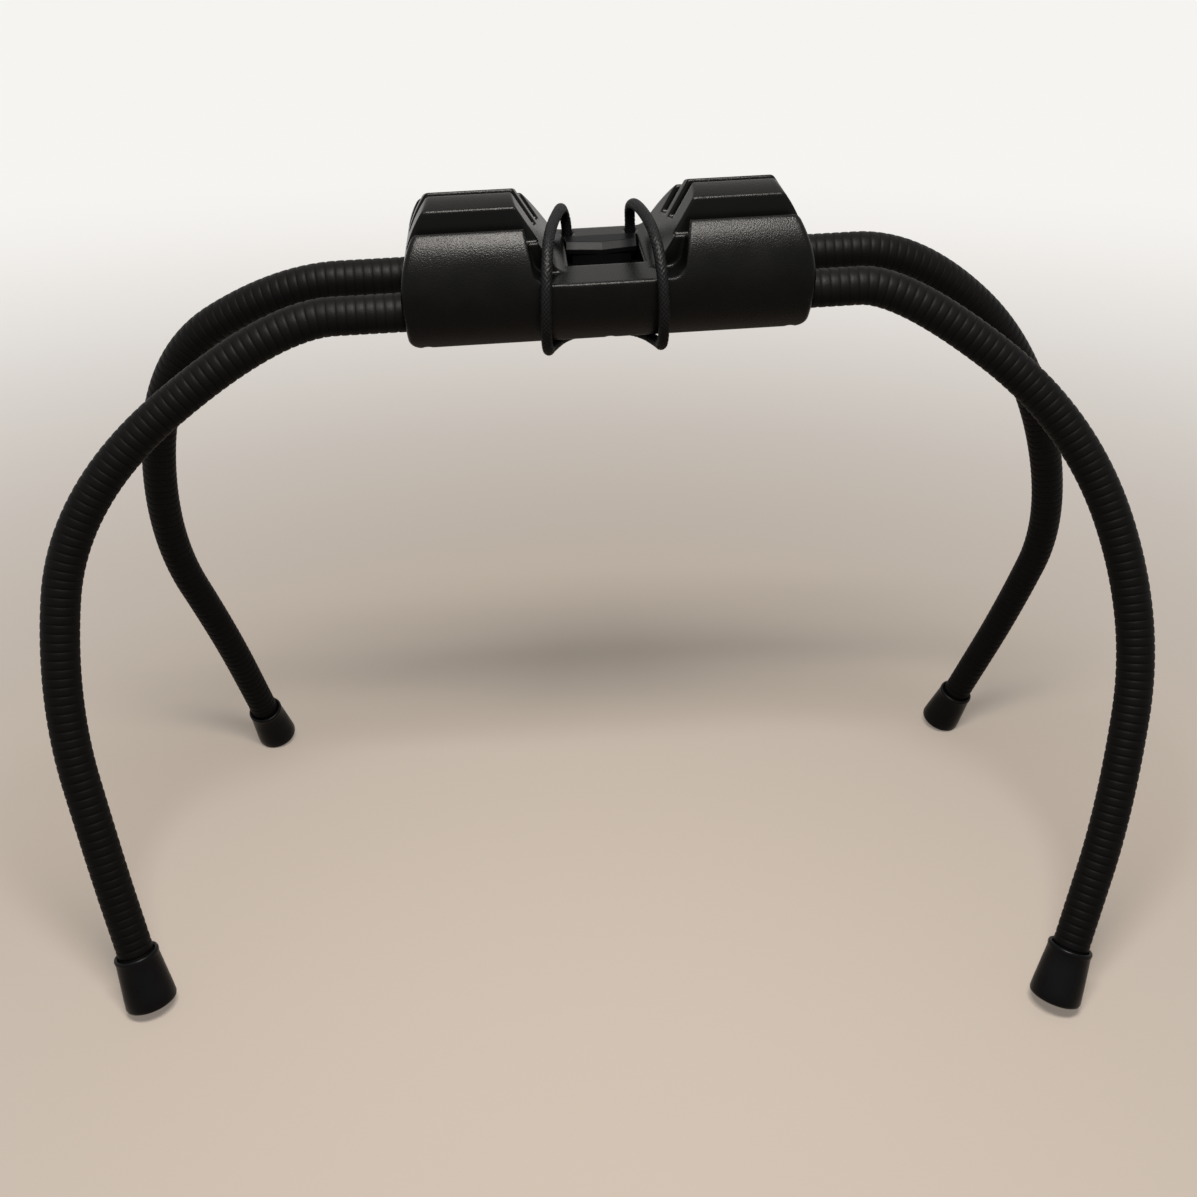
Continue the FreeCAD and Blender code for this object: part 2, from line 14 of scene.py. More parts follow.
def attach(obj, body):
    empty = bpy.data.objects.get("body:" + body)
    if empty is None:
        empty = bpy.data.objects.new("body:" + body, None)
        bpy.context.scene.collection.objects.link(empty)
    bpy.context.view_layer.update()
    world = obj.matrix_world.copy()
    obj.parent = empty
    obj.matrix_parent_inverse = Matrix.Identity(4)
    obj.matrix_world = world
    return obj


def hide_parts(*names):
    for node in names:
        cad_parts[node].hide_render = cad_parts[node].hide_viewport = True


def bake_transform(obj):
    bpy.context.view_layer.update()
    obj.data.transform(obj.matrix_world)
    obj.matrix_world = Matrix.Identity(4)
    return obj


bl_info = {
    "name": "Flexible leg tablet stand",
    "version": (1, 0, 0),
    "blender": (4, 5, 0),
    "location": "View3D > Sidebar > Tablet stand",
    "description": "Builds the sleeves, feet, cord and finishes of a tablet stand on gooseneck legs",
    "category": "Object",
}

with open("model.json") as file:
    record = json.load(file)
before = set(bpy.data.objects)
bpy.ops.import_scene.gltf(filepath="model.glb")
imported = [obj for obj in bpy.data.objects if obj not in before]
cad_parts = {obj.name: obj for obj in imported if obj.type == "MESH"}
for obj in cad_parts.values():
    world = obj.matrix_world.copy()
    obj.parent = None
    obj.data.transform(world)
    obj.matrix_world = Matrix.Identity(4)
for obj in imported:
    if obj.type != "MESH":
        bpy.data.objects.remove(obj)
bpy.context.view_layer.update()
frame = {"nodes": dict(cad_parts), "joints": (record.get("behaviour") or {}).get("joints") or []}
NODES = frame["nodes"]
JOINTS = {joint["name"]: joint for joint in frame["joints"]}

MM = 0.001
LEGS = ("front_left", "front_right", "rear_left", "rear_right")

# The body's place on its legs, as in the part's source.
HUB_TURN = Euler([math.radians(turn) for turn in (10.0, -2.3, 4.5)])
HUB = Matrix.Translation(Vector((-6.07, -3.51, 313.42)) * MM) @ HUB_TURN.to_matrix().to_4x4()
# The round outside of the body: how high its axis lies over the line between the two halves, and its radius.
SKIN_RISE = 7.6 * MM
SKIN_AXIS = HUB @ Vector((0.0, 0.0, SKIN_RISE))
SKIN_RADIUS = 32.6 * MM

# Corner points of each leg in millimetres, from inside the body to the foot's base.
LEG_ROUTES = {
    "front_left": ((-64.65, -27.88, 307.52), (-143.84, -34.11, 304.33), (-233.08, -58.06, 236.31),
                   (-247.32, -81.71, 149.99), (-233.61, -101.24, 72.07), (-219.48, -118.41, 3.04)),
    "front_right": ((55.88, -18.39, 312.38), (120.63, -13.3, 314.99), (202.31, -27.62, 259.19),
                    (237.99, -55.02, 174.59), (230.55, -84.32, 92.51), (207.12, -116.86, 4.15)),
    "rear_left": ((-68.02, 11.37, 314.46), (-148.7, 5.02, 311.21), (-211.98, 11.18, 274.95),
                  (-240.43, 42.18, 173.14), (-225.87, 69.21, 95.38), (-216.25, 100.5, 3.33)),
    "rear_right": ((52.51, 20.86, 319.32), (134.69, 27.33, 322.63), (203.54, 47.7, 268.32),
                   (247.38, 78.02, 167.53), (238.26, 95.29, 98.46), (217.04, 118.38, 3.1)),
}

# The elastic cord's route in the body's frame, in millimetres. It is the route in the part's source, with its
# humps and its run under the body moved.
CORD_ROUTE = (
    (-14.0, 25.5, 5.5), (-14.0, 25.5, 16.5), (-15.4, 23.2, 23.6), (-16.8, 15.5, 27.6), (-18.6, 4.5, 29.2),
    (-21.4, -8.0, 29.4), (-23.7, -20.0, 27.6), (-25.0, -29.5, 22.5), (-26.0, -35.4, 14.0),
    (-26.9, -37.2, 3.0), (-27.2, -35.8, -7.5), (-26.8, -30.8, -16.4), (-25.2, -21.5, -18.9),
    (-18.6, -11.8, -18.4), (-7.2, -6.4, -18.6), (3.9, -6.6, -18.6), (14.6, -12.2, -18.5),
    (20.6, -22.0, -19.0), (21.4, -30.9, -17.0), (21.4, -35.9, -8.0), (21.3, -37.2, 2.5),
    (20.8, -35.4, 13.5), (20.1, -29.5, 22.5), (18.9, -20.0, 28.0), (17.3, -8.0, 30.2),
    (15.6, 4.5, 30.0), (14.4, 15.5, 28.0), (13.6, 23.2, 23.8), (14.0, 25.5, 16.5), (14.0, 25.5, 5.5))

# Half section of a foot in millimetres: distance from its axis and height over its base.
FOOT_PROFILE = (
    (0.0, 0.0), (8.6, 0.0), (10.3, 0.22), (11.25, 0.85), (11.6, 2.0), (11.3, 6.5), (10.35, 17.5),
    (9.75, 24.3), (9.85, 24.75), (10.0, 25.2), (10.0, 26.2), (9.78, 26.78), (9.3, 27.0), (8.75, 26.9),
    (8.3, 26.4), (8.1, 25.4), (8.1, 7.0), (0.0, 7.0))

# One rib of a sleeve and one turn of a core: share of the pitch, and share of the groove's depth.
RIB_OUTLINE = ((0.0, 1.0), (0.07, 0.6), (0.18, 0.14), (0.34, 0.0), (0.66, 0.0), (0.82, 0.14), (0.93, 0.6))
WIRE_OUTLINE = ((0.0, 1.0), (0.5, 0.0))

# Half section of the paper sweep in metres: a flat floor that turns up far away on every side.
SWEEP_PROFILE = ((0.0, 0.0), (4.0, 0.0), (5.0, 0.08), (5.8, 0.36), (6.4, 0.9), (6.8, 1.7), (6.9, 2.8),
                 (6.9, 4.0))
SWEEP_STEPS = 96

SPLINE_STEPS = 48
SAME_POINT = 0.001 * MM

# Moulded surfaces, in millimetres: the size of the soft patches in their gloss, how near the round outside a
# surface has to lie to be grained, and how near the line between the two halves the edges stay sharp.
PATCH_SIZE = 14.0
SKIN_DEPTH = (0.8, 0.2)
SEAM_REACH = 1.5
# How much the grain adds to the patches, the part of their sum that is spread over the two colours, and what
# is left of the grain on the inner surfaces.
GRAIN_IN_PATCHES = 0.35
PATCH_SPREAD = (0.4, 0.95)
INNER_GRAIN = 0.25
BEVEL_SAMPLES = 16

# Lamps and paper. Distances on the paper are counted in doublings of a metre.
LAMP_COLOUR = "#FFFAF3"
SOFT_BOX_SIZE = (0.36, 0.16)
SOFT_BOX_POWER = 17.0
SOFT_BOX_PLACE = (0.0, -0.34, 0.82)
SOFT_BOX_AIM = (0.0, 0.0, 0.25)
CEILING_STRENGTH = 0.5
CEILING_SPREAD = math.radians(80.0)
CEILING_PLACE = (0.0, 0.1, 1.5)
SKY_STRENGTH = (0.05, 0.32)
PALING = (-2.2, 1.6)
PALE_SHARE = (0.3, 0.95)


# Curves and meshes

def spline_places(points):
    """Places along the smooth line that takes the given points as its control points."""
    curve = bpy.data.curves.new("guide", "CURVE")
    curve.dimensions = "3D"
    spline = curve.splines.new("NURBS")
    spline.points.add(len(points) - 1)
    for control, point in zip(spline.points, points):
        control.co = (*point, 1.0)
    spline.order_u = 3
    spline.use_endpoint_u = True
    spline.resolution_u = SPLINE_STEPS
    guide = bpy.data.objects.new("guide", curve)
    bpy.context.scene.collection.objects.link(guide)
    line = bpy.data.meshes.new_from_object(guide.evaluated_get(bpy.context.evaluated_depsgraph_get()))
    places = [vertex.co.copy() for vertex in line.vertices]
    bpy.data.objects.remove(guide)
    bpy.data.curves.remove(curve)
    bpy.data.meshes.remove(line)
    return places


class Line:
    """A measured line: gives a turned frame at any distance along it."""

    def __init__(self, places):
        self.places = places
        self.reached = [0.0]
        for before, after in zip(places, places[1:]):
            self.reached.append(self.reached[-1] + (after - before).length)
        self.length = self.reached[-1]
        ways = [(after - before).normalized() for before, after in zip(places, places[1:])]
        self.ways = [ways[0]] + [(a + b).normalized() for a, b in zip(ways, ways[1:])] + [ways[-1]]
        side = self.ways[0].orthogonal().normalized()
        self.sides = [side]
        for before, after in zip(self.ways, self.ways[1:]):
            side = before.rotation_difference(after) @ side
            self.sides.append(side)

    def frame(self, distance):
        """A matrix at a distance along the line, with its Z axis along the line."""
        low, high = 0, len(self.reached) - 1
        while high - low > 1:
            index = (low + high) // 2
            if self.reached[index] <= distance:
                low = index
            else:
                high = index
        share = (distance - self.reached[low]) / (self.reached[high] - self.reached[low])
        place = self.places[low].lerp(self.places[high], share)
        way = self.ways[low].lerp(self.ways[high], share).normalized()
        side = self.sides[low].lerp(self.sides[high], share)
        side = (side - way * side.dot(way)).normalized()
        matrix = Matrix((side, way.cross(side), way)).transposed().to_4x4()
        matrix.translation = place
        return matrix

    def nearest(self, point):
        """How far along the line its closest place to a point lies."""
        index = min(range(len(self.places)), key=lambda i: (self.places[i] - point).length_squared)
        return self.reached[index]


def sweep(bm, line, rings, sides):
    """Extrude a circle from ring to ring, each one a distance along a line and a radius."""
    loops = []
    matrix = None
    for distance, radius in rings:
        goal = line.frame(distance) @ Matrix.Diagonal((radius, radius, 1.0, 1.0))
        if matrix is None:
            verts = bmesh.ops.create_circle(bm, segments=sides, radius=1.0, matrix=goal)["verts"]
            edges = list({edge for vert in verts for edge in vert.link_edges})
        else:
            made = bmesh.ops.extrude_edge_only(bm, edges=edges)["geom"]
            verts = [item for item in made if isinstance(item, bmesh.types.BMVert)]
            edges = [item for item in made if isinstance(item, bmesh.types.BMEdge)]
            fresh = set(verts)
            edges = [edge for edge in edges if set(edge.verts) <= fresh]
            bmesh.ops.transform(bm, matrix=goal @ matrix.inverted(), verts=verts)
        matrix = goal
        loops.append((verts, edges))
    return loops


def add_piece(name, bm, material):
    """Make a bmesh an object with smooth faces that point outwards."""
    bmesh.ops.recalc_face_normals(bm, faces=bm.faces)
    for face in bm.faces:
        face.smooth = True
    mesh = bpy.data.meshes.new(name)
    bm.to_mesh(mesh)
    bm.free()
    mesh.materials.append(material)
    piece = bpy.data.objects.new(name, mesh)
    bpy.context.scene.collection.objects.link(piece)
    return piece


def finish_node(node, material):
    """Give a carried-over CAD node its finish."""
    mesh = NODES[node].data
    mesh.materials.clear()
    mesh.materials.append(material)


# Materials

def linear(colour):
    """A hex colour as linear RGBA."""
    parts = [int(colour[index:index + 2], 16) / 255 for index in (1, 3, 5)]
    return (*[part / 12.92 if part <= 0.04045 else ((part + 0.055) / 1.055) ** 2.4 for part in parts], 1.0)


def add_node(owner, kind, values=None, links=None, **settings):
    """Add a node to a material or a world, with its settings, its sockets' values and what feeds them."""
    node = owner.node_tree.nodes.new(kind)
    for name, value in settings.items():
        setattr(node, name, value)
    for socket, value in (values or {}).items():
        node.inputs[socket].default_value = value
    for socket, source in (links or {}).items():
        owner.node_tree.links.new(source, node.inputs[socket])
    return node


def new_material(name):
    """A material with no nodes yet."""
    material = bpy.data.materials.new(name)
    material.use_nodes = True
    material.node_tree.nodes.clear()
    return material


def close_material(material, values, links):
    """The shader and the output at a material's end."""
    shader = add_node(material, "ShaderNodeBsdfPrincipled", values, links)
    add_node(material, "ShaderNodeOutputMaterial", links={"Surface": shader.outputs["BSDF"]})
    return material


def moulded(name, colours, grain_mm, depth_mm, roughness, specular, edge_mm=0.4, skin=False):
    """A moulded surface: two near colours in soft patches, a fine grain, uneven gloss and rounded edges.

    With skin set, the grain lies mainly on the round outside of the body, the rest is smoother, and the edges
    at the line between the two halves stay sharp, as where two mouldings close on each other.
    """
    material = new_material(name)
    place = add_node(material, "ShaderNodeTexCoord").outputs["Object"]
    grain = add_node(material, "ShaderNodeTexNoise",
                     {"Scale": 1000 / grain_mm, "Detail": 1.0, "Roughness": 0.6},
                     {"Vector": place}).outputs["Fac"]
    patch = add_node(material, "ShaderNodeTexNoise", {"Scale": 1000 / PATCH_SIZE, "Detail": 3.0},
                     {"Vector": place}).outputs["Fac"]
    mottle = add_node(material, "ShaderNodeMath", {1: GRAIN_IN_PATCHES}, {0: grain, 2: patch},
                      operation="MULTIPLY_ADD").outputs[0]
    share = add_node(material, "ShaderNodeMapRange",
                     {"From Min": PATCH_SPREAD[0], "From Max": PATCH_SPREAD[1]},
                     {"Value": mottle}).outputs["Result"]
    if skin:
        turned = add_node(material, "ShaderNodeMapping", {"Location": SKIN_AXIS, "Rotation": HUB_TURN},
                          {"Vector": place}, vector_type="TEXTURE").outputs["Vector"]
        across = add_node(material, "ShaderNodeVectorMath", {1: (0.0, 1.0, 1.0)}, {0: turned},
                          operation="MULTIPLY").outputs["Vector"]
        reach = add_node(material, "ShaderNodeVectorMath", links={0: across},
                         operation="LENGTH").outputs["Value"]
        outside = add_node(material, "ShaderNodeMapRange",
                           {"From Min": SKIN_RADIUS - SKIN_DEPTH[0] * MM,
                            "From Max": SKIN_RADIUS - SKIN_DEPTH[1] * MM,
                            "To Min": INNER_GRAIN, "To Max": 1.0}, {"Value": reach}).outputs["Result"]
        grain = add_node(material, "ShaderNodeMath", links={0: grain, 1: outside},
                         operation="MULTIPLY").outputs[0]
        share = add_node(material, "ShaderNodeMath", links={0: share, 1: outside},
                         operation="MULTIPLY").outputs[0]
        height = add_node(material, "ShaderNodeSeparateXYZ", links={"Vector": turned}).outputs["Z"]
        at_seam = add_node(material, "ShaderNodeMath", {1: -SKIN_RISE, 2: SEAM_REACH * MM}, {0: height},
                           operation="COMPARE").outputs[0]
        rounding = add_node(material, "ShaderNodeMapRange", {"To Min": edge_mm * MM, "To Max": 0.0},
                            {"Value": at_seam}).outputs["Result"]
    colour = add_node(material, "ShaderNodeMix", {"A": linear(colours[0]), "B": linear(colours[1])},
                      {"Factor": share}, data_type="RGBA").outputs["Result"]
    gloss = add_node(material, "ShaderNodeMapRange", {"To Min": roughness[0], "To Max": roughness[1]},
                     {"Value": share}).outputs["Result"]
    edge = add_node(material, "ShaderNodeBevel", {"Radius": edge_mm * MM},
                    {"Radius": rounding} if skin else None, samples=BEVEL_SAMPLES).outputs["Normal"]
    bump = add_node(material, "ShaderNodeBump", {"Strength": 1.0, "Distance": depth_mm * MM},
                    {"Height": grain, "Normal": edge}).outputs["Normal"]
    return close_material(material, {"IOR": 1.5, "Specular IOR Level": specular},
                          {"Base Color": colour, "Roughness": gloss, "Normal": bump})


def ribbed(name, low, high, dust_mm, grain_mm, depth_mm):
    """Extruded plastic with ribs: dull and painted darker as shade in the grooves, rubbed a little smoother
    on the ribs.
    """
    material = new_material(name)
    crown = add_node(material, "ShaderNodeAttribute", attribute_name="crown").outputs["Fac"]
    place = add_node(material, "ShaderNodeTexCoord").outputs["Object"]
    dust = add_node(material, "ShaderNodeTexNoise", {"Scale": 1000 / dust_mm, "Detail": 4.0},
                    {"Vector": place}).outputs["Fac"]
    grain = add_node(material, "ShaderNodeTexNoise", {"Scale": 1000 / grain_mm, "Detail": 2.0},
                     {"Vector": place}).outputs["Fac"]
    # Painted shade: the colour darkens into the grooves by the crown height, and random noise varies it on
    # the crowns.
    share = add_node(material, "ShaderNodeMath", links={0: crown, 1: dust}, operation="MULTIPLY").outputs[0]
    colour = add_node(material, "ShaderNodeMix", {"A": linear(low), "B": linear(high)}, {"Factor": share},
                      data_type="RGBA").outputs["Result"]
    gloss = add_node(material, "ShaderNodeMapRange", {"To Min": 0.6, "To Max": 0.38},
                     {"Value": share}).outputs["Result"]
    bump = add_node(material, "ShaderNodeBump", {"Strength": 1.0, "Distance": depth_mm * MM},
                    {"Height": grain}).outputs["Normal"]
    return close_material(material, {"IOR": 1.52, "Specular IOR Level": 0.05},
                          {"Base Color": colour, "Roughness": gloss, "Normal": bump})


def braided(name, low, high, fibres_per_mm, depth_mm):
    """A braid: painted shade in the gaps and painted highlight on the crowns, which the cord's own attribute
    gives, and fine fibres.
    """
    material = new_material(name)
    crown = add_node(material, "ShaderNodeAttribute", attribute_name="crown").outputs["Fac"]
    # Painted shade and highlight: dark in the gaps between the strands, paler on their crowns.
    colour = add_node(material, "ShaderNodeMix", {"A": linear(low), "B": linear(high)}, {"Factor": crown},
                      data_type="RGBA")
    place = add_node(material, "ShaderNodeTexCoord").outputs["Object"]
    fibre = add_node(material, "ShaderNodeTexNoise", {"Scale": 1000 * fibres_per_mm, "Detail": 2.0},
                     {"Vector": place})
    bump = add_node(material, "ShaderNodeBump", {"Strength": 0.5, "Distance": depth_mm * MM},
                    {"Height": fibre.outputs["Fac"]})
    return close_material(material, {"Roughness": 0.42, "IOR": 1.57, "Specular IOR Level": 0.05},
                          {"Base Color": colour.outputs["Result"], "Normal": bump.outputs["Normal"]})


def worked_metal(name, colour, grain_mm, depth_mm=0.03):
    """Metal with the fine marks of drawing, heading or pressing."""
    material = new_material(name)
    place = add_node(material, "ShaderNodeTexCoord").outputs["Object"]
    marks = add_node(material, "ShaderNodeTexNoise", {"Scale": 1000 / grain_mm, "Detail": 3.0},
                     {"Vector": place})
    gloss = add_node(material, "ShaderNodeMapRange", {"To Min": 0.25, "To Max": 0.45},
                     {"Value": marks.outputs["Fac"]})
    bump = add_node(material, "ShaderNodeBump", {"Strength": 0.3, "Distance": depth_mm * MM},
                    {"Height": marks.outputs["Fac"]})
    return close_material(material, {"Base Color": linear(colour), "Metallic": 1.0},
                          {"Roughness": gloss.outputs["Result"], "Normal": bump.outputs["Normal"]})


# Settings

class SleeveSettings(bpy.types.PropertyGroup):
    """The ribbed sleeves and the rubber feet."""
    radius: FloatProperty(name="Radius", description="Outer radius over the ribs", default=8.0 * MM,
                          subtype="DISTANCE")
    bore: FloatProperty(name="Bore", description="Radius round the core", default=5.3 * MM,
                        subtype="DISTANCE")
    rib_pitch: FloatProperty(name="Rib pitch", description="From one rib to the next", default=4.0 * MM,
                             subtype="DISTANCE")
    groove: FloatProperty(name="Groove depth", description="Depth between two ribs", default=0.3 * MM,
                          subtype="DISTANCE")
    sides: IntProperty(name="Sides", description="Faces round a sleeve", default=32)
    core_sides: IntProperty(name="Core sides", description="Faces round a core", default=12)
    insert: FloatProperty(name="Insert", description="Length inside the body", default=24.0 * MM,
                          subtype="DISTANCE")
    collar: FloatProperty(name="Collar", description="Length of the core that its collar holds",
                          default=9.0 * MM, subtype="DISTANCE")
    core: FloatProperty(name="Core", description="Outer radius of the wound core", default=5.0 * MM,
                        subtype="DISTANCE")
    core_wire: FloatProperty(name="Core wire", description="From one turn of the core to the next",
                             default=2.4 * MM, subtype="DISTANCE")
    core_groove: FloatProperty(name="Core groove", description="Depth between two turns of the core",
                               default=0.5 * MM, subtype="DISTANCE")
    bend_reach: FloatProperty(name="Bend reach", default=80.0 * MM, subtype="DISTANCE",
                              description="Length on each side of a bend that takes part in it")
    foot_depth: FloatProperty(name="Foot depth", description="Thickness of a foot under the sleeve",
                              default=7.0 * MM, subtype="DISTANCE")
    foot_length: FloatProperty(name="Foot length", description="Height of a foot", default=27.0 * MM,
                               subtype="DISTANCE")
    foot_sides: IntProperty(name="Foot sides", description="Faces round a foot", default=64)


class CordSettings(bpy.types.PropertyGroup):
    """The braided elastic cord."""
    diameter: FloatProperty(name="Diameter", description="Over the braid", default=4.7 * MM,
                            subtype="DISTANCE")
    strands: IntProperty(name="Strands", description="Strands of the braid each way", default=8)
    lay: FloatProperty(name="Lay", description="Length of one turn of a strand", default=15.0 * MM,
                       subtype="DISTANCE")
    relief: FloatProperty(name="Relief", description="Depth between two strands", default=0.42 * MM,
                          subtype="DISTANCE")
    step: FloatProperty(name="Step", description="Length of one ring of faces", default=0.4 * MM,
                        subtype="DISTANCE")
    sides: IntProperty(name="Sides", description="Faces round the cord", default=48)


class StageSettings(bpy.types.PropertyGroup):
    """Floor, lamps and camera."""
    floor_colour: FloatVectorProperty(name="Floor", description="Colour of the lit floor near the stand",
                                      subtype="COLOR", size=4, default=linear("#D6C9BC"), min=0.0, max=1.0)
    far_colour: FloatVectorProperty(name="Far floor", description="Colour of the floor far behind the stand",
                                    subtype="COLOR", size=4, default=linear("#FBF9F6"), min=0.0, max=1.0)
    paper_colour: FloatVectorProperty(name="Paper", description="Colour of the paper before it is lit",
                                      subtype="COLOR", size=4, default=linear("#857C74"), min=0.0, max=1.0)
    camera_place: FloatVectorProperty(name="Camera", description="Place of the camera",
                                      subtype="TRANSLATION",
                                      default=(-8.58 * MM, -489.35 * MM, 416.5 * MM))
    camera_pitch: FloatProperty(name="Pitch", description="How far the camera looks down", subtype="ANGLE",
                                default=math.radians(28.0))
    camera_lens: FloatProperty(name="Lens", description="Focal length on a 36 mm sensor", default=33.17,
                               subtype="DISTANCE_CAMERA")


class StandSettings(bpy.types.PropertyGroup):
    """All settings of the stand."""
    sleeve: PointerProperty(type=SleeveSettings)
    cord: PointerProperty(type=CordSettings)
    stage: PointerProperty(type=StageSettings)


# Pieces

def leg_points(name):
    """A leg's corner points in metres."""
    return [Vector(point) * MM for point in LEG_ROUTES[name]]


def sleeve_line(name, sleeve):
    """The smooth line of one leg: straight in the body and in the foot, and bent between them."""
    points = leg_points(name)
    out = (points[1] - points[0]).normalized()
    inner = points[0] - out * sleeve.collar
    up = (points[-2] - points[-1]).normalized()
    mouth = points[0] + out * (sleeve.insert + sleeve.rib_pitch)
    foot_mouth = points[-1] + up * (sleeve.foot_length + sleeve.rib_pitch)
    end = points[-1] + up * sleeve.foot_depth
    return Line(spline_places([inner, mouth, *points[1:-1], foot_mouth, end]))


def rib_rings(start, end, pitch, radius, groove, outline):
    """Rings over the ribs of a round piece, and the pitch that fits its length."""
    ribs = round((end - start) / pitch)
    pitch = (end - start) / ribs
    rings = [(start + (rib + along) * pitch, radius - drop * groove)
             for rib in range(ribs) for along, drop in outline]
    return rings + [(end, radius - groove)], pitch


def add_sleeve(name, line, start, end, sleeve, material):
    """One ribbed length of a leg, with a bore for the core."""
    bm = bmesh.new()
    crown = bm.verts.layers.float.new("crown")
    rings, pitch = rib_rings(start, end, sleeve.rib_pitch, sleeve.radius, sleeve.groove, RIB_OUTLINE)
    rings += [(end - rib * pitch, sleeve.bore) for rib in range(round((end - start) / pitch) + 1)]
    loops = sweep(bm, line, rings, sleeve.sides)
    for (distance, radius), (verts, edges) in zip(rings, loops):
        for vert in verts:
            # The crown height also sets the painted shade in the sleeve's grooves.
            vert[crown] = max(0.0, 1 - (sleeve.radius - radius) / sleeve.groove)
        for edge in edges:
            edge.smooth = start < distance < end
    bmesh.ops.bridge_loops(bm, edges=loops[0][1] + loops[-1][1])
    return add_piece(name, bm, material)


def add_core(name, line, start, end, sleeve, material):
    """One length of the wound core in a sleeve, closed at its ends."""
    bm = bmesh.new()
    rings, _ = rib_rings(start, end, sleeve.core_wire, sleeve.core, sleeve.core_groove, WIRE_OUTLINE)
    loops = sweep(bm, line, rings, sleeve.core_sides)
    for ends in (loops[0], loops[-1]):
        bmesh.ops.contextual_create(bm, geom=ends[1])
    return add_piece(name, bm, material)


class STAND_OT_housing(bpy.types.Operator):
    """Finish the two halves of the body, the bar in its recess and the screws"""
    bl_idname = "stand.housing"
    bl_label = "Body"

    def execute(self, context):
        # Moulded ABS from an etched tool: black, with one broad soft highlight that the grain breaks up on
        # the round outside, and thin bright lips. The grain is drawn coarser than a tool leaves it, to show.
        grained = moulded("grained_abs", ("#030303", "#060606"), grain_mm=0.6, depth_mm=0.11,
                          roughness=(0.26, 0.36), specular=0.08, edge_mm=2.2, skin=True)
        for node in ("upper_housing", "lower_housing"):
            finish_node(node, grained)
        # Moulded ABS from a smooth tool: black with plain, even facets.
        plain = moulded("polished_abs", ("#030304", "#060607"), grain_mm=0.5, depth_mm=0.02,
                        roughness=(0.36, 0.44), specular=0.04, edge_mm=0.5)
        finish_node("hook_bar", plain)
        # Cold headed steel, plated with black zinc: a dark grey metal with small uneven glints.
        finish_node("housing_screws", worked_metal("black_zinc_steel", "#4A4A4C", grain_mm=0.5))
        return {"FINISHED"}


class STAND_OT_legs(bpy.types.Operator):
    """Build the ribbed sleeves and wound cores along a smooth line through each leg, cut in two between its
    hinges
    """
    bl_idname = "stand.legs"
    bl_label = "Legs"

    def execute(self, context):
        sleeve = context.scene.tablet_stand.sleeve
        # PVC extruded over a spring: dull black, with a short soft glint on each rib that faces the light,
        # and painted shade darkening the grooves.
        rubber = ribbed("ribbed_pvc", "#010101", "#070606", dust_mm=9.0, grain_mm=0.7, depth_mm=0.06)
        # Drawn spring wire, left bare: a grey metal, striped along its turns.
        steel = worked_metal("wound_steel", "#8C8C8E", grain_mm=0.6)
        for leg in LEGS:
            line = sleeve_line(leg, sleeve)
            hinges = [Vector(JOINTS[f"{leg}_{place}_bend"]["pos_m"]) for place in ("upper", "lower")]
            along = [line.nearest(hinge) for hinge in hinges]
            seam = sum(along) / 2
            spans = ((0.0, seam), (seam, line.length))
            for index, label in enumerate(("upper", "lower")):
                start, end = spans[index]
                tube = add_sleeve(f"{leg}_{label}_sleeve", line, max(start, sleeve.collar), end, sleeve,
                                  rubber)
                core = add_core(f"{leg}_{label}_core", line, start, end, sleeve, steel)
                reach = line.frame(along[index]).col[2].to_3d() * sleeve.bend_reach
                stood_for = ("root", "middle") if index == 0 else ("lower",)
                for piece, kind in ((tube, "sleeve"), (core, "core")):
                    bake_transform(piece)
                    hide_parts(*(f"{leg}_{kind}_{length}" for length in stood_for))
            finish_node(f"{leg}_collar", steel)
        return {"FINISHED"}


class STAND_OT_feet(bpy.types.Operator):
    """Turn the tapered rubber feet"""
    bl_idname = "stand.feet"
    bl_label = "Feet"

    def execute(self, context):
        sleeve = context.scene.tablet_stand.sleeve
        # Moulded rubber: deep black and almost smooth, with a narrow line of light on the rim.
        rubber = moulded("smooth_rubber", ("#020203", "#050506"), grain_mm=1.6, depth_mm=0.04,
                         roughness=(0.3, 0.4), specular=0.08)
        for leg in LEGS:
            points = leg_points(leg)
            up = (points[-2] - points[-1]).normalized()
            bm = bmesh.new()
            verts = [bm.verts.new((reach * MM, 0.0, height * MM)) for reach, height in FOOT_PROFILE]
            edges = [bm.edges.new(pair) for pair in zip(verts, verts[1:])]
            bmesh.ops.spin(bm, geom=verts + edges, cent=(0, 0, 0), axis=(0, 0, 1), angle=math.tau,
                           steps=sleeve.foot_sides, use_merge=True)
            bmesh.ops.remove_doubles(bm, verts=bm.verts, dist=SAME_POINT)
            place = Matrix.Translation(points[-1]) @ up.to_track_quat("Z", "Y").to_matrix().to_4x4()
            bmesh.ops.transform(bm, matrix=place, verts=bm.verts)
            foot = add_piece(f"{leg}_tip", bm, rubber)
            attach(foot, f"{leg}_lower")
            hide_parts(f"{leg}_foot")
        return {"FINISHED"}


